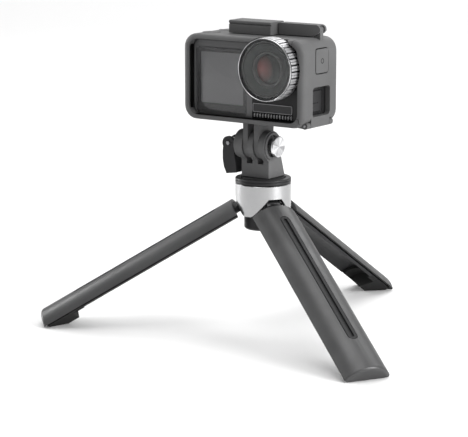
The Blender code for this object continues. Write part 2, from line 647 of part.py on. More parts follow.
def build_latch(door_body, middle):
    """Latch lever that reaches over the frame from the door's top."""
    pin_x, pin_z = LATCH_PIN
    body = pivot("latch_axis", CENTRE + Vector((pin_x, 0, pin_z)), door_body)
    left, end = CATCH_X[1] + 0.6, pin_x + 2.6
    low, high = HALF_H + 0.5, HALF_H + 6.2
    outline = [(left, low), (pin_x - 1.8, low), (end - 1.2, low + 1.5), (end, low + 2.7)]
    outline += arc((end - 2.4, high - 2.4), 2.4, 0, 90, 4) + [(left + 0.4, high), (left, high - 0.4)]
    lever = solid("latch_lever", in_camera(prism, outline, LATCH_Y[0] + LATCH_SET_BACK, LATCH_Y[1], "Y"),
                  "frame_grey", body)
    cut(lever, camera_space(box((pin_x - 3.4, middle - 1.4 - GAP, 0), (HALF_W + 5, middle + 1.4 + GAP,
                                                                       pin_z + 2.2))))
    cut(lever, in_camera(rod, LATCH_PIN_RADIUS + GAP, middle - 2.6, middle + 2.6, "Y", LATCH_PIN, 14))


# ---------------------------------------------------------------- camera

SHUTTER_AT = (-HALF_W + 9.6, -4.8)
POWER_AT = (-HALF_W + 9.6, 7.4)
# Rounded areas on the casing and the frame: left, bottom, right, top and corner radius
SCREEN = (-BODY_W + 2.55, -BODY_H + 1.5, LENS_X - 17.1, BODY_H - 4.8, 1.2)
ACTIVE = (SCREEN[0] + 2.3, SCREEN[1] + 4.9, SCREEN[2] - 2.0, SCREEN[3] - 2.4, 0.6)
REAR_SCREEN = (-BODY_W + 5.75, -BODY_H + 3.9, BODY_W - 5.75, BODY_H - 3.9, 1.8)
REAR_ACTIVE = (REAR_SCREEN[0] + 2, REAR_SCREEN[1] + 1.8, REAR_SCREEN[2] - 2, REAR_SCREEN[3] - 1.8, 0.8)
LABEL = (LENS_X - 13.0, -BODY_H + 4.1, LENS_X + 10.2, -BODY_H + 8.5, 0.8)
VENT = (LABEL[0], -BODY_H + 1.3, LABEL[2], -BODY_H + 3.7, 0.3)
BATTERY_DOOR = (BODY_FRONT + 4.2, -BODY_H + 4, BODY_BACK - 3.8, BODY_H - 4, 1.0)   # from here on in (y, z)
PORT = (-5.6, -BODY_H + 5.1, 5.6, -BODY_H + 15.3, 0.8)
POWER = (POWER_AT[0] - 3.5, POWER_AT[1] - 1.8, POWER_AT[0] + 3.5, POWER_AT[1] + 1.8, 1.7)
SIDE_PAD = (-5.0, BODY_H - 15.0, 6.6, BODY_H - 2.9, 1.6)
SIDE_WINDOW = (-7.2, -BODY_H + 3.2, 8.3, -BODY_H + 17.6, 1.6)


def area(rect, margin=0.0, steps=3):
    """Rounded outline of one of the areas above, grown by a margin."""
    low_a, low_b, high_a, high_b, radius = rect
    return rounded((low_a - margin, low_b - margin), (high_a + margin, high_b + margin), radius + margin, steps)


def side_cuts(shell):
    """Openings that both housing halves share, for the battery door and the port cover."""
    cut(shell, in_camera(prism, area(BATTERY_DOOR, GAP), -BODY_W - 1, -BODY_W + 4, "X"))
    cut(shell, in_camera(prism, area(PORT, GAP), BODY_W - 4, BODY_W + 1, "X"))


def build_housings(tilt):
    """Front and rear halves of the camera's casing."""
    wall = BODY_WALL
    levels = edge_levels(BODY_FRONT, BODY_FRONT + 2 * (SPLIT - BODY_FRONT), 1.4, 1.4)[:4] + [(SPLIT, 0, 0)]
    front = solid("front_housing", rounded_block(BODY_W, BODY_H, BODY_CORNER, levels), "body_grey", tilt)
    hollow = rounded((-BODY_W + wall, -BODY_H + wall), (BODY_W - wall, BODY_H - wall), BODY_CORNER - wall, 5)
    face, through = BODY_FRONT - 1, BODY_FRONT + PLATE + 1
    cut(front, in_camera(prism, hollow, BODY_FRONT + PLATE, SPLIT + 1, "Y"))
    cut(front, in_camera(prism, area(SCREEN, GAP), face, BODY_FRONT + 0.8, "Y"))
    cut(front, in_camera(prism, area(ACTIVE, GAP), face, through, "Y"))
    cut(front, in_camera(rod, MOUNT_NECK + GAP, face, through, "Y", (LENS_X, LENS_Z), 36))
    cut(front, in_camera(prism, area(LABEL, GAP), face, BODY_FRONT + 0.6, "Y"))
    cut(front, in_camera(prism, area(VENT, GAP), face, through, "Y"))
    cut(front, in_camera(rod, BUTTON_RADIUS + GAP, BODY_H - 3, BODY_H + 1, "Z", SHUTTER_AT, 28))
    side_cuts(front)

    start = SPLIT + GAP
    levels = [(start, 0, 0)] + edge_levels(2 * start - BODY_BACK, BODY_BACK, 1.4, 1.4)[4:]
    rear = solid("rear_housing", rounded_block(BODY_W, BODY_H, BODY_CORNER, levels), "body_grey", tilt)
    cut(rear, in_camera(prism, hollow, start - 1, BODY_BACK - PLATE, "Y"))
    cut(rear, in_camera(prism, area(REAR_SCREEN, GAP), BODY_BACK - 0.8, BODY_BACK + 1, "Y"))
    cut(rear, in_camera(prism, area(REAR_ACTIVE, GAP), BODY_BACK - 3, BODY_BACK + 1, "Y"))
    cut(rear, in_camera(prism, area(POWER, GAP), BODY_H - 3, BODY_H + 1))
    side_cuts(rear)


def build_screens(tilt):
    """Front and rear glass with the display panels behind them."""
    plates = (("front_screen_glass", SCREEN, BODY_FRONT + 0.05, BODY_FRONT + 0.5, "screen_glass"),
              ("front_display", ACTIVE, BODY_FRONT + 0.8, BODY_FRONT + 2.6, "display_grey"),
              ("rear_screen_glass", REAR_SCREEN, BODY_BACK - 0.5, BODY_BACK - 0.05, "screen_glass"),
              ("rear_display", REAR_ACTIVE, BODY_BACK - 2.6, BODY_BACK - 0.8, "display_grey"),
              ("label_plate", LABEL, BODY_FRONT - 0.1, BODY_FRONT + 0.3, "black_plastic"))
    for name, rect, low, high, finish in plates:
        solid(name, in_camera(prism, area(rect), low, high, "Y"), finish, tilt)
    grille = solid("vent_grille", in_camera(prism, area(VENT), BODY_FRONT + 0.1, BODY_FRONT + 1.5, "Y"),
                   "black_plastic", tilt, smooth=False)
    left, low, right, high = VENT[:4]
    count = 13
    pitch = (right - left - 1.0) / count
    for i in range(count):
        x = left + 0.5 + pitch * (i + 0.5)
        cut(grille, camera_space(box((x - pitch * 0.25, BODY_FRONT - 1, low + 0.4),
                                     (x + pitch * 0.25, BODY_FRONT + 3, high - 0.4))))


def ring_outline(tooth_radius, root_radius):
    """Outline of a ring with square grip blocks, as (x, z) about the lens axis."""
    points = []
    for i in range(TEETH):
        for share, radius in ((0.0, root_radius), (0.15, root_radius), (0.25, tooth_radius),
                              (0.9, tooth_radius)):
            turn = 2 * math.pi * (i + share) / TEETH
            points.append((LENS_X + radius * math.cos(turn), LENS_Z + radius * math.sin(turn)))
    return points


def build_lens(tilt):
    """Lens mount, barrel, elements, protective glass and the grip ring that unscrews."""
    axis = (LENS_X, LENS_Z)
    ring_axis = pivot("lens_ring_axis", CENTRE + Vector((LENS_X, RING_FRONT, LENS_Z)), tilt)
    back = RING_FRONT + RING_DEPTH
    root, glass = LENS_RADIUS - 0.6, LENS_RADIUS - 1.2
    rings = []
    for y, tooth, valley in ((RING_FRONT, root, root), (RING_FRONT + 0.8, LENS_RADIUS, root),
                             (back - 0.7, LENS_RADIUS, root), (back, root, root)):
        rings.append([(a, y, b) for a, b in ring_outline(tooth, valley)])
    ring = solid("lens_ring", camera_space(loft(rings)), "bright_steel", ring_axis)
    cut(ring, in_camera(rod, MOUNT_RADIUS + GAP, RING_FRONT - 1, back + 1, "Y", axis, 36))
    cut(ring, in_camera(rod, glass, RING_FRONT - 1, RING_FRONT + 1.5, "Y", axis, 36))
    solid("lens_cover_glass", in_camera(rod, glass - GAP, RING_FRONT + 0.4, RING_FRONT + 1.2, "Y", axis, 36),
          "lens_glass", ring_axis)
    front = RING_FRONT + 1.5 + GAP
    bore, shoulder, inner_end = BARREL_RADIUS + GAP, BODY_FRONT - GAP - 0.1, BODY_FRONT + 2.2
    mount = [(bore, front + 0.8), (MOUNT_RADIUS - 0.4, front), (MOUNT_RADIUS, front + 0.4),
             (MOUNT_RADIUS, shoulder), (MOUNT_NECK, shoulder), (MOUNT_NECK, inner_end), (bore, inner_end)]
    solid("lens_mount", in_camera(turned, mount, "Y", axis, 36), "black_plastic", tilt)
    wide, front, back = BARREL_RADIUS, RING_FRONT + 3.05, BODY_FRONT + 5.6
    barrel = [(wide - 1.4, front + 0.8), (wide - 0.4, front), (wide, front + 0.4), (wide, back),
              (wide - 4.6, back), (wide - 4.6, back - 1.6), (wide - 1.4, BODY_FRONT + 0.6)]
    solid("lens_barrel", in_camera(turned, barrel, "Y", axis, 36), "black_plastic", tilt)
    shapes = (("front_lens_element", RING_FRONT + 4.45, wide - 1.7,
               ((0.14, 0.0), (0.42, 0.2), (0.68, 0.6), (0.89, 1.3), (1.0, 2.0), (1.0, 4.2))),
              ("rear_lens_element", BODY_FRONT, wide - 5.0,
               ((0.26, 0.0), (0.63, 0.3), (1.0, 1.0), (1.0, 2.8))))
    for name, start, radius, profile in shapes:
        dome = [(share * radius, start + depth) for share, depth in profile]
        solid(name, in_camera(turned, dome, "Y", axis, 28, False), "lens_glass", tilt)
    solid("image_sensor", camera_space(box((LENS_X - 7, BODY_FRONT + 6.0, LENS_Z - 6),
                                           (LENS_X + 7, BODY_FRONT + 7.2, LENS_Z + 6))),
          "board_green", tilt, smooth=False)


def build_inside(tilt):
    """Circuit board, battery, sockets and the covers over them."""
    edge_x, edge_z = BODY_W - 2.95, BODY_H - 3.3
    board = box((-edge_x, BODY_FRONT + 4.0, -edge_z), (LENS_X - 13, BODY_FRONT + 5.2, edge_z))
    solid("main_board", camera_space(board), "board_green", tilt, smooth=False)
    cell = rounded((-BODY_W + 2.35, -BODY_H + 4.5), (LENS_X - 8.2, BODY_H - 4.5), 1.5, 3)
    solid("battery", in_camera(prism, cell, BODY_FRONT + 7.6, BODY_BACK - 5.4, "Y"), "battery_grey", tilt)
    solid("battery_door", in_camera(prism, area(BATTERY_DOOR), -BODY_W, -BODY_W + 1.4, "X"),
          "body_grey", tilt)
    floor = PORT[1]
    socket = solid("usb_socket", camera_space(box((BODY_W - 9.0, -4.6, floor + 5.4),
                                                  (BODY_W - 2.0, 4.6, floor + 8.8))),
                   "bright_steel", tilt, smooth=False)
    cut(socket, camera_space(box((BODY_W - 8.4, -4.0, floor + 6.0), (BODY_W - 1.0, 4.0, floor + 8.2))))
    solid("card_slot", camera_space(box((BODY_W - 9.0, -5.4, floor + 1.0), (BODY_W - 2.0, 5.4, floor + 2.8))),
          "bright_steel", tilt, smooth=False)
    flap = pivot("port_cover_axis", CENTRE + Vector((BODY_W, 0, floor)), tilt)
    cover = solid("port_cover", in_camera(prism, area(PORT), BODY_W - 1.4, BODY_W, "X"),
                  "rubber_black", flap)
    seam = (floor + PORT[3]) / 2 - 1
    cut(cover, camera_space(box((BODY_W - 0.3, PORT[0] - 1, seam), (BODY_W + 1, 2.0, seam + 0.5))))


def build_buttons(tilt):
    """Buttons on the camera's top, and the one behind the frame's side pad."""
    top = HALF_H + 0.15
    press = pivot("shutter_axis", CENTRE + Vector((*SHUTTER_AT, HALF_H)), tilt)
    profile = [(BUTTON_RADIUS, BODY_H - 2.4), (BUTTON_RADIUS, top - 0.3), (BUTTON_RADIUS - 0.3, top)]
    solid("shutter_button", in_camera(turned, profile, "Z", SHUTTER_AT, 28, False), "frame_grey", press)
    press = pivot("power_axis", CENTRE + Vector((*POWER_AT, HALF_H)), tilt)
    solid("power_button", in_camera(prism, area(POWER), BODY_H - 2.4, top), "frame_grey", press)


def centre_on_footprint():
    """Move the assembly so that the origin is under the middle of its box, at floor level."""
    bpy.context.view_layer.update()
    graph = bpy.context.evaluated_depsgraph_get()
    low, high = Vector((1e9, 1e9, 1e9)), Vector((-1e9, -1e9, -1e9))
    for item in bpy.data.objects:
        if item.type != "MESH" or item.hide_render:
            continue
        shown = item.evaluated_get(graph)
        for vertex in shown.data.vertices:
            place = shown.matrix_world @ vertex.co
            low = Vector(map(min, low, place))
            high = Vector(map(max, high, place))
    ASSEMBLY.location -= Vector(((low.x + high.x) / 2, (low.y + high.y) / 2, low.z))
    bpy.context.view_layer.update()


clear_scene()
ASSEMBLY = pivot("assembly", (0, 0, 0))
build_hub()
build_knob()
for leg_side, leg_degrees in LEG_DIRECTIONS.items():
    build_leg(leg_side, leg_degrees)
build_adapter()
TILT = pivot("tilt_axis", (0, TILT_Y, TILT_Z), ASSEMBLY)
build_frame(TILT)
build_door(TILT)
build_housings(TILT)
build_screens(TILT)
build_lens(TILT)
build_inside(TILT)
build_buttons(TILT)
centre_on_footprint()
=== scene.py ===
"""Looks for the action camera on its folding mini tripod.

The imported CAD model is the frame. Lengths here are millimetres in the row frame and become metres
when a mesh is made. Pieces that need finer shapes than the CAD's replace their nodes, and every
other node keeps its CAD mesh with softened edges and a procedural material.
"""
import json
import math

import bmesh
import bpy
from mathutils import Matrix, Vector


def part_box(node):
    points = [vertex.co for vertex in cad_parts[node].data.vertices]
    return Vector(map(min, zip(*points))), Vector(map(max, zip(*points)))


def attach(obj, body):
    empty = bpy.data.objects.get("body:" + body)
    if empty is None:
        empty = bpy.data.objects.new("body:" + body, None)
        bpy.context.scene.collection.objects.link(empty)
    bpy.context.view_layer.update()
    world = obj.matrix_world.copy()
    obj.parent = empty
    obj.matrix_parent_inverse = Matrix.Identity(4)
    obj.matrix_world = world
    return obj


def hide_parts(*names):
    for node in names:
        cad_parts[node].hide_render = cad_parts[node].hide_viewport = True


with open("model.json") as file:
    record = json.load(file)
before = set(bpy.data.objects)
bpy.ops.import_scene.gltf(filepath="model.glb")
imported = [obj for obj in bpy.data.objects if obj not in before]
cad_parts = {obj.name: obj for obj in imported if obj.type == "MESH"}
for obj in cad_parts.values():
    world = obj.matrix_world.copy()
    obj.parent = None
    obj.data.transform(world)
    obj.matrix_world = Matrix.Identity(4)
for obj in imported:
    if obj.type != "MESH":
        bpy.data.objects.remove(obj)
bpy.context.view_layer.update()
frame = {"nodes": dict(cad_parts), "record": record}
NODES = frame["nodes"]
MM = 0.001


# ---------------------------------------------------------------- measures from the frame

def low(node):
    """Lowest corner of a node, in millimetres."""
    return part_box(node)[0] / MM


def high(node):
    """Highest corner of a node, in millimetres."""
    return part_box(node)[1] / MM


def middle(node):
    """Centre of a node's box, in millimetres."""
    return (low(node) + high(node)) / 2


BODY = middle("front_housing")          # its x and z are the camera's centre
BODY_FRONT = low("front_housing").y
BODY_HALF = (high("front_housing") - low("front_housing")) / 2
FRAME_FRONT = low("frame_shell").y
LENS = middle("lens_ring")              # its x and z are the lens axis
LENS_AXIS = (LENS.x, LENS.z)
RING_FRONT = low("lens_ring").y
RING_BACK = high("lens_ring").y
RING_RADIUS = (high("lens_ring").x - low("lens_ring").x) / 2
GLASS_RADIUS = (high("lens_cover_glass").x - low("lens_cover_glass").x) / 2
MOUNT_RADIUS = (high("lens_mount").x - low("lens_mount").x) / 2
BARREL_RADIUS = (high("lens_barrel").x - low("lens_barrel").x) / 2
NUT = middle("thumb_nut")
GAP = 0.3                               # clearance between pieces, as in the CAD
RIM_LIP = 0.8                           # how far the frame's rim reaches over the casing


# ---------------------------------------------------------------- materials

GLOSS_SCALE = 160       # patches of uneven gloss per metre
SMEAR_SCALE = 90        # smears on glass per metre


class Finish:
    """Builds the node tree of one procedural material."""

    def __init__(self, name, metallic=0.0):
        self.material = bpy.data.materials.new(name)
        self.material.use_nodes = True
        self.nodes = self.material.node_tree.nodes
        self.links = self.material.node_tree.links
        self.shader = self.nodes["Principled BSDF"]
        self.shader.inputs["Metallic"].default_value = metallic
        self.place = self.nodes.new("ShaderNodeTexCoord").outputs["Object"]

    def noise(self, scale, detail=3.0, stretch=(1, 1, 1), roughness=0.5):
        """Noise in object space, in cells per metre, stretched by an axis scale."""
        mapping = self.nodes.new("ShaderNodeMapping")
        mapping.inputs["Scale"].default_value = stretch
        self.links.new(self.place, mapping.inputs["Vector"])
        noise = self.nodes.new("ShaderNodeTexNoise")
        noise.inputs["Scale"].default_value = scale
        noise.inputs["Detail"].default_value = detail
        noise.inputs["Roughness"].default_value = roughness
        self.links.new(mapping.outputs["Vector"], noise.inputs["Vector"])
        return noise.outputs["Fac"]

    def ranged(self, value, start, end, low_out, high_out):
        """Map a value's range to another."""
        node = self.nodes.new("ShaderNodeMapRange")
        names = ("From Min", "From Max", "To Min", "To Max")
        for name, number in zip(names, (start, end, low_out, high_out)):
            node.inputs[name].default_value = number
        self.links.new(value, node.inputs["Value"])
        return node.outputs["Result"]

    def mixed(self, factor, first, second):
        """Mix two colours by a factor."""
        node = self.nodes.new("ShaderNodeMix")
        node.data_type = "RGBA"
        self.links.new(factor, node.inputs["Factor"])
        node.inputs["A"].default_value = (*first, 1)
        node.inputs["B"].default_value = (*second, 1)
        return node.outputs["Result"]

    def bump(self, height, strength, distance):
        """Raise the surface by a height value, distance in millimetres."""
        node = self.nodes.new("ShaderNodeBump")
        node.inputs["Strength"].default_value = strength
        node.inputs["Distance"].default_value = distance * MM
        self.links.new(height, node.inputs["Height"])
        self.links.new(node.outputs["Normal"], self.shader.inputs["Normal"])


def uneven_gloss(made, value, lowest, highest, start=0.3, end=0.7):
    """Let a value drive the roughness between two limits."""
    made.links.new(made.ranged(value, start, end, lowest, highest), made.shader.inputs["Roughness"])


def moulded(name, colour, roughness, metallic=0.0, grain=2600, depth=0.03, spread=0.16, specular=0.5):
    """Moulded or coated surface: fine grain, faint clouds in colour and roughness."""
    made = Finish(name, metallic)
    clouds = made.noise(38, 4)
    fine = made.noise(grain, 2)
    darker = tuple(c * (1 - spread) for c in colour)
    lighter = tuple(c * (1 + spread) for c in colour)
    colours = made.mixed(made.ranged(clouds, 0.3, 0.7, 0, 1), darker, lighter)
    made.links.new(colours, made.shader.inputs["Base Color"])
    uneven_gloss(made, made.noise(GLOSS_SCALE, 3), roughness - 0.05, roughness + 0.06)
    made.shader.inputs["Specular IOR Level"].default_value = specular
    made.bump(fine, 0.35, depth)
    return made.material


def brushed(name, colour, roughness, stretch, lines=500, depth=0.006, metallic=1.0):
    """Machined metal: fine lines in one direction, slightly uneven gloss."""
    made = Finish(name, metallic)
    lines_noise = made.noise(lines, 3, stretch)
    darker = tuple(c * 0.9 for c in colour)
    colours = made.mixed(made.ranged(lines_noise, 0.25, 0.75, 0, 1), darker, colour)
    made.links.new(colours, made.shader.inputs["Base Color"])
    uneven_gloss(made, made.noise(lines * 0.7, 2, stretch), roughness - 0.02, roughness + 0.03)
    made.bump(lines_noise, 0.15, depth)
    return made.material


def spun_face_with_painted_highlights(name, dark, light, centre, roughness):
    """Metal face turned about X: painted highlights, as light and dark radial streaks in its colour, over
    fine rings.
    """
    made = Finish(name, 1.0)
    offset = made.nodes.new("ShaderNodeVectorMath")
    offset.operation = "SUBTRACT"
    offset.inputs[1].default_value = Vector(centre) * MM
    made.links.new(made.place, offset.inputs[0])
    split = made.nodes.new("ShaderNodeSeparateXYZ")
    made.links.new(offset.outputs["Vector"], split.inputs["Vector"])
    turn = made.nodes.new("ShaderNodeMath")
    turn.operation = "ARCTAN2"
    made.links.new(split.outputs["Z"], turn.inputs[0])
    made.links.new(split.outputs["Y"], turn.inputs[1])
    # painted highlight streaks round the face's centre
    painted_streaks = made.nodes.new("ShaderNodeTexNoise")
    painted_streaks.noise_dimensions = "1D"
    painted_streaks.inputs["Scale"].default_value = 1.3
    made.links.new(turn.outputs["Value"], painted_streaks.inputs["W"])
    made.links.new(made.mixed(made.ranged(painted_streaks.outputs["Fac"], 0.38, 0.62, 0, 1), dark, light),
                   made.shader.inputs["Base Color"])
    reach = made.nodes.new("ShaderNodeVectorMath")
    reach.operation = "LENGTH"
    made.links.new(offset.outputs["Vector"], reach.inputs[0])
    rings = made.nodes.new("ShaderNodeTexNoise")
    rings.noise_dimensions = "1D"
    rings.inputs["Scale"].default_value = 9000
    made.links.new(reach.outputs["Value"], rings.inputs["W"])
    uneven_gloss(made, rings.outputs["Fac"], roughness - 0.05, roughness + 0.08)
    made.bump(rings.outputs["Fac"], 0.3, 0.004)
    return made.material


def glass(name, tint, roughness=0.02, specular=0.5):
    """Clear glass with a coating tint and faint smears in its gloss."""
    made = Finish(name)
    shader = made.shader
    shader.inputs["Transmission Weight"].default_value = 1.0
    shader.inputs["IOR"].default_value = 1.45
    shader.inputs["Base Color"].default_value = (*tint, 1)
    shader.inputs["Specular IOR Level"].default_value = specular
    uneven_gloss(made, made.noise(SMEAR_SCALE, 4), roughness, roughness + 0.05, 0.45, 0.8)
    return made.material


def coated_glass_painted_reflection(name, inner, outer, centre, radius, roughness=0.05):
    """Dark coated lens surface with a painted reflection: its colour goes from a tinted patch at the given
    centre to dark at its rim.
    """
    made = Finish(name)
    offset = made.nodes.new("ShaderNodeVectorMath")
    offset.operation = "DISTANCE"
    flat = made.nodes.new("ShaderNodeVectorMath")
    flat.operation = "MULTIPLY"
    flat.inputs[1].default_value = (1, 0, 1)
    made.links.new(made.place, flat.inputs[0])
    made.links.new(flat.outputs["Vector"], offset.inputs[0])
    offset.inputs[1].default_value = Vector(centre) * MM
    share = made.ranged(offset.outputs["Value"], 0.1 * radius * MM, radius * MM, 0, 1)
    made.links.new(made.mixed(share, inner, outer), made.shader.inputs["Base Color"])
    uneven_gloss(made, made.noise(120, 3), roughness, roughness + 0.04, 0.4, 0.8)
    made.shader.inputs["Specular IOR Level"].default_value = 0.25
    made.shader.inputs["Coat Weight"].default_value = 0.15
    made.shader.inputs["Coat Roughness"].default_value = 0.03
    return made.material


def casing_with_painted_shade(grey=(0.11, 0.11, 0.112), black=(0.012, 0.012, 0.0125), face_depth=1.2):
    """Casing grey, with painted shade in black: on the front face right of the label's edge, where shadow
    falls round the lens and between the frame and the casing, and on the port side, in shadow inside the
    side window.
    """
    made = Finish("casing_painted_shade_look", 0.15)
    split = made.nodes.new("ShaderNodeSeparateXYZ")
    made.links.new(made.place, split.inputs["Vector"])
    edge = low("label_plate").x - GAP
    across = made.ranged(split.outputs["X"], (edge - 0.1) * MM, edge * MM, 0, 1)
    face = (BODY_FRONT + face_depth) * MM
    deep = made.ranged(split.outputs["Y"], face, face + 0.1 * MM, 1, 0)
    front_shade_mask = made.nodes.new("ShaderNodeMath")
    front_shade_mask.operation = "MULTIPLY"
    made.links.new(across, front_shade_mask.inputs[0])
    made.links.new(deep, front_shade_mask.inputs[1])
    side = made.nodes.new("ShaderNodeMath")
    side.operation = "MAXIMUM"
    right = (BODY.x + BODY_HALF.x) * MM
    made.links.new(front_shade_mask.outputs["Value"], side.inputs[0])
    port_side_shade = made.ranged(split.outputs["X"], right - 0.4 * MM, right - 0.3 * MM, 0, 1)
    made.links.new(port_side_shade, side.inputs[1])
    # painted shade: black where the masks mark the shaded front and the port side
    made.links.new(made.mixed(side.outputs["Value"], grey, black), made.shader.inputs["Base Color"])
    uneven_gloss(made, made.noise(GLOSS_SCALE, 3), 0.4, 0.52)
    made.shader.inputs["Specular IOR Level"].default_value = 0.3
    made.bump(made.noise(2600, 2), 0.35, 0.03)
    return made.material


LOOKS = {
    "satin_aluminium": brushed("satin_aluminium_look", (0.46, 0.46, 0.465), 0.24, (1, 1, 14), 240, 0.002),
    "bright_steel": brushed("bright_steel_look", (0.62, 0.62, 0.63), 0.22, (6, 1, 6), 300, 0.003),
    "leg_grey": moulded("leg_grey_look", (0.062, 0.062, 0.063), 0.36, 0.3, 2600, 0.035, 0.12, 0.45),
    "black_plastic": moulded("black_plastic_look", (0.013, 0.013, 0.014), 0.42, 0, 2200, 0.03, 0.2, 0.3),
    "rubber_black": moulded("rubber_black_look", (0.014, 0.014, 0.014), 0.7, 0, 1800, 0.05, 0.2, 0.25),
    "adapter_grey": moulded("adapter_grey_look", (0.088, 0.088, 0.089), 0.5, 0, 2400, 0.04, 0.14, 0.3),
    "frame_grey": moulded("frame_grey_look", (0.092, 0.092, 0.093), 0.56, 0, 2400, 0.045, 0.12, 0.2),
    "body_grey": moulded("body_grey_look", (0.1, 0.1, 0.102), 0.45, 0.2, 2600, 0.03, 0.12, 0.35),
    "screen_glass": glass("screen_glass_look", (0.92, 0.92, 0.93), 0.03, 0.12),
    "display_grey": moulded("display_grey_look", (0.25, 0.25, 0.253), 0.4, 0, 900, 0.001, 0.04, 0.15),
    "lens_glass": glass("lens_glass_look", (0.95, 0.97, 0.96), 0.02, 0.12),
    "board_green": moulded("board_green_look", (0.02, 0.1, 0.045), 0.45, 0, 1500, 0.05),
    "battery_grey": moulded("battery_grey_look", (0.16, 0.16, 0.17), 0.5, 0, 1800, 0.03),
}
# near-black used as painted shade in the frame's opening, the vent and round the side pad, and as the print
# of the pad's mark
SHADE_AND_PRINT_BLACK = moulded("painted_shade_and_print_look", (0.004, 0.004, 0.004), 0.8, 0, 2000, 0.03, 0.2, 0.05)
MASK = moulded("glass_mask_look", (0.045, 0.045, 0.046), 0.4, 0, 900, 0.001, 0.05, 0.15)
BAFFLE = moulded("lens_baffle_look", (0.03, 0.034, 0.034), 0.45, 0, 1200, 0.004, 0.06, 0.2)
RIB = moulded("vent_rib_look", (0.3, 0.3, 0.305), 0.4, 0.2, 1500, 0.01)
LABEL_RIM = moulded("label_rim_look", (0.2, 0.2, 0.205), 0.4, 0.2, 1500, 0.01)
DARK_STEEL = brushed("dark_steel_look", (0.3, 0.3, 0.31), 0.3, (1, 8, 1), 280, 0.003)
# casing grey, with painted shade in black round the lens and on the port side
CASING_WITH_SHADE = casing_with_painted_shade()
NODE_LOOKS = {
    "port_cover": LOOKS["black_plastic"], "front_housing": CASING_WITH_SHADE, "rear_housing": CASING_WITH_SHADE,
    "lever_pin": DARK_STEEL, "door_hinge_pin": DARK_STEEL, "latch_pin": DARK_STEEL,
}
# painted reflection: a red-brown patch left of the lens axis on the front element, a green-tinted one at
# the rear element's centre
FRONT_COATING_REFLECTION = coated_glass_painted_reflection("front_coating_painted_reflection_look", (0.24, 0.055, 0.05), (0.008, 0.008, 0.0085),
                             (LENS.x - 4.2, 0, LENS.z), 7.5)
REAR_COATING_REFLECTION = coated_glass_painted_reflection("rear_coating_painted_reflection_look", (0.02, 0.05, 0.04), (0.01, 0.012, 0.012),
                            (LENS.x, 0, LENS.z), 4.0)
KNURL = brushed("grip_block_look", (0.55, 0.55, 0.56), 0.32, (1, 14, 1), 260, 0.004, 0.55)
NUT_FACE = spun_face_with_painted_highlights("nut_face_look", (0.4, 0.4, 0.41), (0.85, 0.85, 0.86), NUT, 0.24)


# ---------------------------------------------------------------- meshes

SHARP_ANGLE = 40        # edges sharper than this are softened, in degrees
WELD_DISTANCE = 0.002   # corners nearer than this become one before softening


def arc(centre, radius, start, stop, steps):
    """Points on an arc between two angles in degrees, both ends included."""
    turns = [math.radians(start + (stop - start) * i / steps) for i in range(steps + 1)]
    return [(centre[0] + radius * math.cos(t), centre[1] + radius * math.sin(t)) for t in turns]


def along(axis, a, b, height):
    """Place outline coordinates (a, b) and a height on the named axis."""
    return {"X": (height, a, b), "Y": (a, height, b), "Z": (a, b, height)}[axis]


def turned(profile, axis="Z", centre=(0, 0), steps=96):
    """Turn (radius, height) points about an axis into a closed ring."""
    verts = []
    for radius, height in profile:
        verts += [along(axis, a, b, height) for a, b in arc(centre, radius, 0, 360, steps)[:-1]]
    faces = []
    for level in range(len(profile)):
        near, far = level * steps, (level + 1) % len(profile) * steps
        for i in range(steps):
            j = (i + 1) % steps
            faces.append((near + i, near + j, far + j, far + i))
    return verts, faces


def dome(profile, axis="Z", centre=(0, 0), steps=96):
    """Turn (radius, height) points about an axis into a solid with flat ends."""
    verts, faces = turned(profile, axis, centre, steps)
    faces = faces[:-steps]
    faces += [tuple(range(steps)), tuple(range(len(verts) - steps, len(verts)))]
    return verts, faces


def joined(*shapes):
    """One shape from several."""
    verts, faces = [], []
    for shape_verts, shape_faces in shapes:
        start = len(verts)
        verts += shape_verts
        faces += [tuple(start + i for i in face) for face in shape_faces]
    return verts, faces


def loft(rings):
    """Join rings of equal point counts into a closed shape."""
    count = len(rings[0])
    verts = [point for ring in rings for point in ring]
    faces = [tuple(range(count)), tuple(range(len(verts) - count, len(verts)))]
    for level in range(len(rings) - 1):
        for i in range(count):
            j = (i + 1) % count
            near, far = level * count, (level + 1) * count
            faces.append((near + i, near + j, far + j, far + i))
    return verts, faces


def piece(name, shape, look, body, replaces=(), bevel=0.0, segments=3, smooth=35):
    """Make a piece from a shape in millimetres, and attach it to its body."""
    verts, faces = shape
    mesh = bpy.data.meshes.new(name)
    mesh.from_pydata([Vector(v) * MM for v in verts], [], faces)
    edit = bmesh.new()
    edit.from_mesh(mesh)
    bmesh.ops.recalc_face_normals(edit, faces=edit.faces)
    edit.to_mesh(mesh)
    edit.free()
    mesh.shade_smooth()
    mesh.set_sharp_from_angle(angle=math.radians(smooth))
    mesh.materials.append(look)
    made = bpy.data.objects.new(name, mesh)
    bpy.context.scene.collection.objects.link(made)
    if bevel:
        soften(made, bevel, segments)
    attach(made, body)
    if replaces:
        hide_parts(*replaces)
    return made


def soften(item, width, segments=3):
    """Round an object's sharp edges, width in millimetres."""
    item.modifiers.new("weld", "WELD").merge_threshold = WELD_DISTANCE * MM
    step = item.modifiers.new("soft edges", "BEVEL")
    step.width = width * MM
    step.segments = segments
    step.limit_method = "ANGLE"
    step.angle_limit = math.radians(SHARP_ANGLE)
    step.harden_normals = True
    item.modifiers.new("normals", "WEIGHTED_NORMAL").keep_sharp = False


# ---------------------------------------------------------------- carried-over nodes

# Width of the softened edges in millimetres, where it isn't the common one
EDGE_WIDTHS = {
    "frame_shell": 0.35, "frame_door": 0.35, "front_housing": 0.3, "rear_housing": 0.3, "latch_lever": 0.5,
    "latch_catch": 0.35, "adapter_block": 0.4, "cam_lever": 0.2, "clamp_bolt": 0.04, "clamp_knob": 0.3,
    "battery": 0.4, "power_button": 0.2,
}
COMMON_EDGE = 0.15


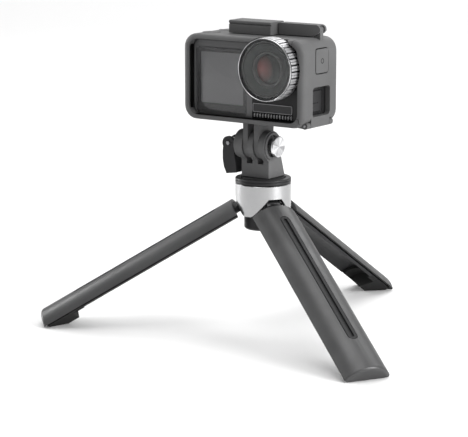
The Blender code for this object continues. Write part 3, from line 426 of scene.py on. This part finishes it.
def dress_nodes():
    """Give every CAD node its slot's procedural material and soft edges."""
    slots = {part["node"]: part["material_slot"] for part in frame["record"]["subparts"]}
    for name, node in NODES.items():
        node.data.materials.clear()
        node.data.materials.append(NODE_LOOKS.get(name, LOOKS[slots[name]]))
        soften(node, EDGE_WIDTHS.get(name, COMMON_EDGE), 2)


# ---------------------------------------------------------------- outlines

def rounded(left, bottom, right, top, radius, steps=8):
    """Outline of a rectangle with round corners."""
    points = []
    for i, centre in enumerate(((right - radius, top - radius), (left + radius, top - radius),
                                (left + radius, bottom + radius), (right - radius, bottom + radius))):
        points += arc(centre, radius, 90 * i, 90 * i + 90, steps)
    return points


def node_area(node, inset=0.0, radius=1.0):
    """Rounded outline of a flat node seen from the front, as (x, z)."""
    corner, far = low(node), high(node)
    return rounded(corner.x + inset, corner.z + inset, far.x - inset, far.z - inset, radius)


def plate(outline, levels, axis="Y"):
    """Solid from one outline at several heights; each level is (height, scale about its middle)."""
    count = len(outline)
    a0, b0 = (sum(point[k] for point in outline) / count for k in (0, 1))
    return loft([[along(axis, a0 + (a - a0) * scale, b0 + (b - b0) * scale, height) for a, b in outline]
                 for height, scale in levels])


def border(outer, inner, near, far, axis="Y"):
    """Closed band between an outer and an inner outline of equal point counts."""
    verts = []
    for outline, height in ((outer, near), (outer, far), (inner, far), (inner, near)):
        verts += [along(axis, a, b, height) for a, b in outline]
    count = len(outer)
    faces = []
    for level in range(4):
        start, stop = level * count, (level + 1) % 4 * count
        for i in range(count):
            j = (i + 1) % count
            faces.append((start + i, start + j, stop + j, stop + i))
    return verts, faces


# ---------------------------------------------------------------- lens

LENS_STEPS = 128        # facets round the glass, the baffle and the barrel
RING_STEPS = 144        # and round the ring's bezel and edge
SLEEVE_STEPS = 120
GRIP_TEETH = 30
GRIP_DEPTH = 0.7        # height of the blocks above the sleeve
BLOCK_SHARES = ((0.06, 0.40), (0.47, 0.81))     # the two blocks' shares of one tooth


def grip_block(start, stop, inner, outer, near, far, steps=2):
    """One block on the ring, between two turns in radians and two radii."""
    rings = []
    for radius in (inner, outer):
        turns = [start + (stop - start) * i / steps for i in range(steps + 1)]
        ring = [(y, t) for y, order in ((near, turns), (far, turns[::-1])) for t in order]
        rings.append([(LENS.x + radius * math.cos(t), y, LENS.z + radius * math.sin(t)) for y, t in ring])
    return loft(rings)


def build_ring():
    """The grip ring: a dark sleeve, bright grip blocks in pairs, and a thin bright front edge."""
    root = RING_RADIUS - GRIP_DEPTH
    front, back = RING_FRONT, RING_BACK
    bore = MOUNT_RADIUS + GAP
    sleeve = [(bore, front + 1.5), (root, front + 1.1), (root, back), (bore, back)]
    piece("lens_ring_sleeve", turned(sleeve, "Y", LENS_AXIS, SLEEVE_STEPS), LOOKS["black_plastic"],
          "lens_ring")
    seat, rim = GLASS_RADIUS + 0.15, RING_RADIUS - 0.55
    bezel = [(seat, front + 1.5), (seat, front + 0.45), (RING_RADIUS - 0.8, front + 0.3),
             (rim, front + 0.15), (rim, front + 0.9), (root - 0.3, front + 1.5)]
    piece("lens_ring_bezel", turned(bezel, "Y", LENS_AXIS, RING_STEPS), LOOKS["black_plastic"], "lens_ring")
    # (inset from the ring's radius, depth behind its front)
    edge = [(0.53, 0.95), (0.53, 0.1), (0.43, 0), (0.28, 0.05), (0.2, 0.3), (0.25, 0.85), (0.4, 1.0)]
    edge = [(RING_RADIUS - inset, front + depth) for inset, depth in edge]
    piece("lens_ring_edge", turned(edge, "Y", LENS_AXIS, RING_STEPS), LOOKS["bright_steel"], "lens_ring",
          ("lens_ring",))
    blocks = []
    for i in range(GRIP_TEETH):
        for shares in BLOCK_SHARES:
            turns = [2 * math.pi * (i + share) / GRIP_TEETH for share in shares]
            blocks.append(grip_block(*turns, root - 0.3, RING_RADIUS - 0.02, front + 1.3, back - 0.3))
    piece("lens_ring_blocks", joined(*blocks), KNURL, "lens_ring", (), 0.18, 3)


def build_optics():
    """Baffle, barrel and coated elements behind the protective glass."""
    front = RING_FRONT
    glass_levels = [(0.25, 0.42), (0, 0.6), (0, 1.0), (0.2, 1.18)]
    glass_levels = [(GLASS_RADIUS - inset, front + depth) for inset, depth in glass_levels]
    piece("lens_window", dome(glass_levels, "Y", LENS_AXIS, LENS_STEPS), LOOKS["lens_glass"], "lens_ring",
          ("lens_cover_glass",))
    start = low("lens_mount").y
    baffle = [(MOUNT_RADIUS - 0.2, start), (MOUNT_RADIUS, start + 0.4), (MOUNT_RADIUS, BODY_FRONT - 0.4),
              (MOUNT_RADIUS - 1.6, BODY_FRONT - 0.4), (MOUNT_RADIUS - 1.6, BODY_FRONT + 2.2),
              (BARREL_RADIUS + GAP, BODY_FRONT + 2.2), (BARREL_RADIUS + GAP, start + 1.6)]
    rings = 5
    inner, outer = BARREL_RADIUS + 0.6, MOUNT_RADIUS - 0.5
    for i in range(rings):
        radius = inner + (outer - inner) * i / (rings - 1)
        depth = start + 1.3 * (1 - i / (rings - 1))
        baffle += [(radius - 0.12, depth + 0.18), (radius + 0.05, depth)]
    piece("lens_baffle", turned(baffle, "Y", LENS_AXIS, LENS_STEPS), BAFFLE, "camera",
          ("lens_mount",))
    start = low("lens_barrel").y
    wide = BARREL_RADIUS
    hollow = wide - 1.3
    back = high("lens_barrel").y
    neck = wide - 4.6
    barrel = [(hollow, start + 0.9), (hollow + 0.2, start + 0.25), (wide - 0.7, start),
              (wide - 0.3, start + 0.05), (wide, start + 0.4), (wide, back), (neck, back),
              (neck, back - 1.6), (neck, start + 4.2), (hollow, start + 3.6)]
    piece("lens_inner_barrel", turned(barrel, "Y", LENS_AXIS, LENS_STEPS), LOOKS["frame_grey"], "camera",
          ("lens_barrel",))
    element("front_element", hollow - 0.06, start + 0.55, start + 3.3, 1.5, FRONT_COATING_REFLECTION,
            "front_lens_element")
    near, far = low("rear_lens_element").y, high("rear_lens_element").y
    radius = (high("rear_lens_element").x - low("rear_lens_element").x) / 2
    element("rear_element", radius, near, far, (far - near) * 0.5, REAR_COATING_REFLECTION, "rear_lens_element")


def element(name, radius, near, far, crown, look, node):
    """Domed lens element whose front face rises by its crown."""
    steps = 12
    profile = [(radius * i / steps, near + crown * (i / steps) ** 2) for i in range(1, steps + 1)]
    profile.append((radius, far))
    piece(name, dome(profile, "Y", LENS_AXIS, 96), look, "camera", (node,))


# ---------------------------------------------------------------- casing details

VENT_RIBS = 14
DOOR_STRIP = 1.8        # left free for the door's rim, from the opening's right edge


def build_screens():
    """Clear glass over a dark printed mask and the display, at the front and the back."""
    for side, display, sign in (("front", "front_display", 1), ("rear", "rear_display", -1)):
        node = side + "_screen_glass"
        near, far = (low(node).y, high(node).y) if sign > 0 else (high(node).y, low(node).y)
        outline = node_area(node, 0.0, 1.2 if sign > 0 else 1.8)
        levels = [(near, 0.99), (near + 0.12 * sign, 1.0), (near + 0.33 * sign, 1.0)]
        piece(side + "_glass_plate", plate(outline, levels), LOOKS["screen_glass"], "camera",
              (node,))
        mask = sorted((near + 0.36 * sign, far))
        piece(side + "_glass_mask", border(outline, node_area(display, -0.2, 0.7), *mask), MASK, "camera")


def build_grille_and_label():
    """Blank label plate with a raised rim, and the ribs of the vent over a floor painted near-black as the
    shade inside the vent.
    """
    corner, far = low("label_plate"), high("label_plate")
    outline = node_area("label_plate", 0.02, 0.8)
    piece("label_panel", plate(outline, [(corner.y + 0.08, 1.0), (far.y, 1.0)]), MASK, "camera",
          ("label_plate",))
    piece("label_rim", border(outline, node_area("label_plate", 0.35, 0.5), corner.y, corner.y + 0.12),
          LABEL_RIM, "camera", (), 0.04, 2)
    corner, far = low("vent_grille"), high("vent_grille")
    # painted shade: the vent's floor is near-black for the shadow between the ribs
    floor = plate(node_area("vent_grille", 0.02, 0.3), [(corner.y + 0.9, 1.0), (far.y, 1.0)])
    piece("vent_painted_shade_floor", floor, SHADE_AND_PRINT_BLACK, "camera", ("vent_grille",))
    pitch = (far.x - corner.x) / VENT_RIBS
    half = pitch * 0.17
    ribs = []
    for i in range(VENT_RIBS):
        x = corner.x + pitch * (i + 0.5)
        ribs.append(plate(rounded(x - half, corner.z + 0.25, x + half, far.z - 0.25, 0.12, 3),
                          [(corner.y, 0.8), (corner.y + 0.15, 1.0), (corner.y + 0.9, 1.0)]))
    piece("vent_ribs", joined(*ribs), RIB, "camera")


def build_painted_shade_sheet():
    """Painted shade: a near-black sheet inside the frame's front opening, round the casing, where the rim's
    inner wall lies in shadow. The door's part is left out.
    """
    wide, tall = BODY_HALF.x + GAP - RIM_LIP, BODY_HALF.z + GAP - RIM_LIP
    left, bottom, top = BODY.x - wide, BODY.z - tall, BODY.z + tall
    seam = BODY.x + wide - (DOOR_STRIP + GAP)
    outer = rounded(left + 0.02, bottom + 0.02, seam, top - 0.02, 4.0, 10)
    inner = rounded(left + 0.25, bottom + 0.25, seam + 9, top - 0.25, 4.0, 10)
    keep = [(a, b) for a, b in outer if a < seam - 4.2]
    fold = [(a, b) for a, b in inner if a < seam - 4.2]
    tail = seam - 1.5
    keep = [(tail, keep[0][1])] + keep + [(tail, keep[-1][1])]
    fold = [(tail, fold[0][1])] + fold + [(tail, fold[-1][1])]
    outline = keep + fold[::-1]
    # painted shade on the rim's inner wall
    piece("front_painted_shade", plate(outline, [(FRAME_FRONT + 1.2, 1.0), (BODY_FRONT - 0.35, 1.0)]), SHADE_AND_PRINT_BLACK,
          "camera")


def build_side_pad():
    """Button pad on the door with its sunk edge painted near-black as shade, and a small generic printed
    mark.
    """
    corner, far = low("side_button_pad"), high("side_button_pad")
    outline = rounded(corner.y + 0.2, corner.z + 0.2, far.y - 0.2, far.z - 0.2, 1.4)
    skirt = rounded(corner.y - 0.15, corner.z - 0.15, far.y + 0.15, far.z + 0.15, 1.7)
    inner = rounded(corner.y + 0.18, corner.z + 0.18, far.y - 0.18, far.z - 0.18, 1.4)
    # painted shade: a near-black band in the gap round the pad
    piece("side_pad_shade_band", border(skirt, inner, corner.x + 0.1, far.x - 0.75, "X"), SHADE_AND_PRINT_BLACK,
          "side_button")
    levels = [(corner.x, 1.0), (far.x - 0.2, 1.0), (far.x - 0.05, 0.985), (far.x, 0.96)]
    piece("side_pad", plate(outline, levels, "X"), LOOKS["frame_grey"], "side_button",
          ("side_button_pad",))
    centre = ((corner.y + far.y) / 2, (corner.z + far.z) / 2)
    outside, inside = 1.25, 0.95
    under, over = far.x - 0.05, far.x + 0.03
    mark = turned([(outside, under), (outside, over), (inside, over), (inside, under)], "X", centre, 40)
    piece("side_pad_mark", mark, SHADE_AND_PRINT_BLACK, "side_button")


def build_buttons():
    """Dished shutter button."""
    corner, far = low("shutter_button"), high("shutter_button")
    radius = (far.x - corner.x) / 2
    top = far.z
    centre = ((corner.x + far.x) / 2, (corner.y + far.y) / 2)
    profile = [(radius, corner.z), (radius, top - 0.3), (radius - 0.1, top - 0.08), (radius - 0.35, top),
               (radius - 0.8, top - 0.03), (radius - 1.6, top - 0.16), (radius - 2.8, top - 0.24),
               (0.4, top - 0.27)]
    piece("shutter_cap", dome(profile, "Z", centre, 64), LOOKS["frame_grey"], "shutter",
          ("shutter_button",))


def build_nut():
    """Thumb nut with a turned face, painted highlight streaks on it, and a bevelled rim."""
    left, right = low("thumb_nut").x, high("thumb_nut").x
    radius = (high("thumb_nut").z - low("thumb_nut").z) / 2
    collar = radius - 2.1       # radius of the narrow part, next to the ear
    disc = right - 1.7          # where the wide part starts
    profile = [(collar - 0.1, left), (collar, left + 0.2), (collar, disc), (radius - 0.4, disc),
               (radius, right - 1.4), (radius, right - 0.35), (radius - 0.12, right - 0.12),
               (radius - 0.4, right), (radius - 0.9, right - 0.05), (2.2, right - 0.14),
               (0.3, right - 0.16)]
    piece("thumb_nut_disc", dome(profile, "X", (NUT.y, NUT.z), 96), NUT_FACE, "nut",
          ("thumb_nut",))


# ---------------------------------------------------------------- studio

# The studio is in metres
FLOOR_REACH = 9.0
WORLD_STRENGTH = 0.45
CAMERA_PLACE = (0.573, -0.875, 0.258)
CAMERA_HEADING = (-0.570, 0.821)
CAMERA_PITCH = 0.194    # downwards, in radians
FOCAL_LENGTH = 160.2
# Name, place, aim, width and height, and power in watts
LAMPS = (
    ("key", (1.3, 0.05, 0.6), (0, 0, 0.1), (0.7, 1.0), 24),
    ("left", (-1.2, -0.1, 0.4), (0, 0, 0.08), (0.4, 0.9), 10),
    ("top", (0.1, -0.3, 1.7), (0, 0, 0), (1.2, 1.2), 13),
    ("backdrop", (-1.8, 3.4, 2.6), (-1.8, 3.4, 0), (4.5, 3.5), 130),
)


def build_studio():
    """Pale floor, soft lights and the camera."""
    mesh = bpy.data.meshes.new("floor")
    reach = FLOOR_REACH
    corners = [(-reach, -reach, 0), (reach, -reach, 0), (reach, reach, 0), (-reach, reach, 0)]
    mesh.from_pydata(corners, [], [(0, 1, 2, 3)])
    floor = bpy.data.objects.new("floor", mesh)
    bpy.context.scene.collection.objects.link(floor)
    look = Finish("studio_floor")
    colours = look.mixed(look.noise(3, 2), (0.78, 0.78, 0.78), (0.8, 0.8, 0.8))
    look.links.new(colours, look.shader.inputs["Base Color"])
    look.shader.inputs["Roughness"].default_value = 0.6
    mesh.materials.append(look.material)

    world = bpy.data.worlds.new("studio")
    world.use_nodes = True
    world.node_tree.nodes["Background"].inputs["Color"].default_value = (1, 1, 1, 1)
    world.node_tree.nodes["Background"].inputs["Strength"].default_value = WORLD_STRENGTH
    bpy.context.scene.world = world
    bpy.context.scene.view_settings.view_transform = "Standard"

    for name, place, aim, size, power in LAMPS:
        lamp = bpy.data.lights.new(name, "AREA")
        lamp.shape = "RECTANGLE"
        lamp.size, lamp.size_y = size
        lamp.energy = power
        item = bpy.data.objects.new(name, lamp)
        item.location = place
        item.rotation_euler = (Vector(aim) - Vector(place)).to_track_quat("-Z", "Y").to_euler()
        bpy.context.scene.collection.objects.link(item)

    lens = bpy.data.cameras.new("camera")
    lens.lens = FOCAL_LENGTH
    lens.sensor_width = 36
    lens.clip_start, lens.clip_end = 0.05, 50
    item = bpy.data.objects.new("camera", lens)
    level = math.cos(CAMERA_PITCH)
    look_along = Vector((CAMERA_HEADING[0] * level, CAMERA_HEADING[1] * level, -math.sin(CAMERA_PITCH)))
    item.location = CAMERA_PLACE
    item.rotation_euler = look_along.to_track_quat("-Z", "Y").to_euler()
    bpy.context.scene.collection.objects.link(item)
    bpy.context.scene.camera = item


dress_nodes()
build_ring()
build_optics()
build_screens()
build_grille_and_label()
build_painted_shade_sheet()
build_side_pad()
build_buttons()
build_nut()
build_studio()
